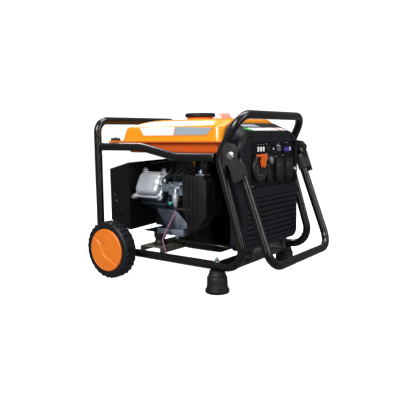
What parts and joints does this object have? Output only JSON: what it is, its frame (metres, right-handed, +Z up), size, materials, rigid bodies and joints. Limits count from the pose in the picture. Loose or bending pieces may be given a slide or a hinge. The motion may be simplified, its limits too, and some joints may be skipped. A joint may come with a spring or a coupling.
{
  "type": "portable generator",
  "caption": "Open-frame portable generator with fuel tank, engine, control housing, fold-out handle and two wheels.",
  "frame": {"origin": "middle of the footprint, on the floor", "axes": "+Z up, -Y towards the control side, +X to the right of a person facing the controls"},
  "size_m": [0.624, 0.7468, 0.5807],
  "materials": {
    "frame_paint": "semi-gloss powder coat",
    "sheet_paint": "satin powder coat",
    "galvanised": "dull yellow-passivated zinc",
    "steel": "satin",
    "tyre": "matte moulded",
    "black_plastic": "fine textured",
    "panel_plastic": "fine textured",
    "grey_plastic": "satin",
    "orange_plastic": "satin moulded",
    "rubber": "matte",
    "chrome": "bright plated",
    "orange_paint": "gloss",
    "orange_paint_deep": "gloss",
    "brass": "satin",
    "casting": "die-cast, lightly blasted",
    "hose": "clear tinted",
    "zinc": "bright zinc",
    "copper": "enamelled winding"
  },
  "bodies": {
    "frame": {"front_hoop_tube": "frame_paint", "rear_hoop_tube": "frame_paint", "side_rail_left": "frame_paint", "side_rail_right": "frame_paint", "rear_cross_member": "galvanised", "front_cross_member": "frame_paint", "axle_stub_left": "steel", "axle_stub_right": "steel", "foot_left": "rubber", "foot_right": "rubber", "pivot_plate_left": "sheet_paint", "pivot_plate_right": "sheet_paint", "pivot_bolt_left": "chrome", "pivot_bolt_right": "chrome", "tank_upper_shell": "orange_paint", "tank_lower_shell": "orange_paint_deep", "tank_strap_rear": "frame_paint", "tank_strap_front": "frame_paint", "fuel_tap": "brass", "fuel_hose": "rubber", "crankcase": "casting", "cylinder": "casting", "valve_cover": "casting", "spark_plug": "rubber", "carburettor": "casting", "air_filter_case": "black_plastic", "breather_hose": "rubber", "drain_hose": "hose", "engine_bracket": "zinc", "engine_mount_left": "rubber", "engine_mount_right": "rubber", "muffler": "steel", "muffler_shield": "sheet_paint", "fan_housing": "sheet_paint", "stator": "copper", "control_housing": "black_plastic", "control_panel": "panel_plastic", "display_module": "panel_plastic", "ground_terminal": "chrome", "inverter_module": "casting"},
    "wheel_left": {"tyre_left": "tyre", "wheel_rim_left": "black_plastic", "hub_disc_left": "orange_plastic"},
    "wheel_right": {"tyre_right": "tyre", "wheel_rim_right": "black_plastic", "hub_disc_right": "orange_plastic"},
    "handle": {"handle_bar": "frame_paint", "handle_bracket_left": "sheet_paint", "handle_bracket_right": "sheet_paint"},
    "fuel_cap": {"fuel_cap": "black_plastic"},
    "engine_dial": {"engine_dial": "black_plastic", "dial_lever": "orange_plastic"},
    "start_button": {"start_button": "chrome"},
    "reset_button": {"reset_button": "panel_plastic"},
    "rocker_switch": {"rocker_switch": "grey_plastic"},
    "outlet_cover_left": {"outlet_cover_left": "rubber"},
    "outlet_cover_right": {"outlet_cover_right": "rubber"},
    "dc_cover": {"dc_cover": "rubber"},
    "rotor": {"alternator_rotor": "steel"},
    "fuel_tap_lever": {"fuel_tap_lever": "black_plastic"}
  },
  "joints": [
    {"name": "wheel_left_spin", "type": "hinge", "parent": "frame", "child": "wheel_left", "pos_m": [-0.283, 0.24881, 0.1015], "axis": [1, 0, 0], "continuous": true},
    {"name": "wheel_right_spin", "type": "hinge", "parent": "frame", "child": "wheel_right", "pos_m": [0.283, 0.24881, 0.1015], "axis": [1, 0, 0], "continuous": true},
    {"name": "handle_fold", "type": "hinge", "parent": "frame", "child": "handle", "pos_m": [0, -0.23389, 0.439], "axis": [-1, 0, 0], "range_deg": [0, 95]},
    {"name": "fuel_cap_turn", "type": "hinge", "parent": "frame", "child": "fuel_cap", "pos_m": [0, 0.05641, 0.57], "axis": [0, 0, 1], "range_deg": [0, 90]},
    {"name": "engine_dial_turn", "type": "hinge", "parent": "frame", "child": "engine_dial", "pos_m": [-0.081, -0.24059, 0.39], "axis": [0, 1, 0], "range_deg": [-120, 0]},
    {"name": "start_button_press", "type": "slide", "parent": "frame", "child": "start_button", "axis": [0, 1, 0], "range_m": [0, 0.003], "stiffness_N_per_m": 400},
    {"name": "reset_button_press", "type": "slide", "parent": "frame", "child": "reset_button", "axis": [0, 1, 0], "range_m": [0, 0.002], "stiffness_N_per_m": 400},
    {"name": "rocker_switch_tip", "type": "hinge", "parent": "frame", "child": "rocker_switch", "pos_m": [0.055, -0.23759, 0.452], "axis": [1, 0, 0], "range_deg": [0, 10]},
    {"name": "outlet_cover_left_lift", "type": "hinge", "parent": "frame", "child": "outlet_cover_left", "pos_m": [0.058, -0.24059, 0.414], "axis": [-1, 0, 0], "range_deg": [0, 100], "stiffness_Nm_per_rad": 0.03},
    {"name": "outlet_cover_right_lift", "type": "hinge", "parent": "frame", "child": "outlet_cover_right", "pos_m": [0.127, -0.24059, 0.414], "axis": [-1, 0, 0], "range_deg": [0, 100], "stiffness_Nm_per_rad": 0.03},
    {"name": "dc_cover_lift", "type": "hinge", "parent": "frame", "child": "dc_cover", "pos_m": [-0.019, -0.24059, 0.39], "axis": [-1, 0, 0], "range_deg": [0, 100], "stiffness_Nm_per_rad": 0.01},
    {"name": "rotor_spin", "type": "hinge", "parent": "frame", "child": "rotor", "pos_m": [0.012, 0.00941, 0.236], "axis": [0, 1, 0], "continuous": true},
    {"name": "fuel_tap_lever_turn", "type": "hinge", "parent": "frame", "child": "fuel_tap_lever", "pos_m": [-0.1623, -0.02859, 0.4207], "axis": [1, 0, 0], "range_deg": [-90, 0]}
  ]
}
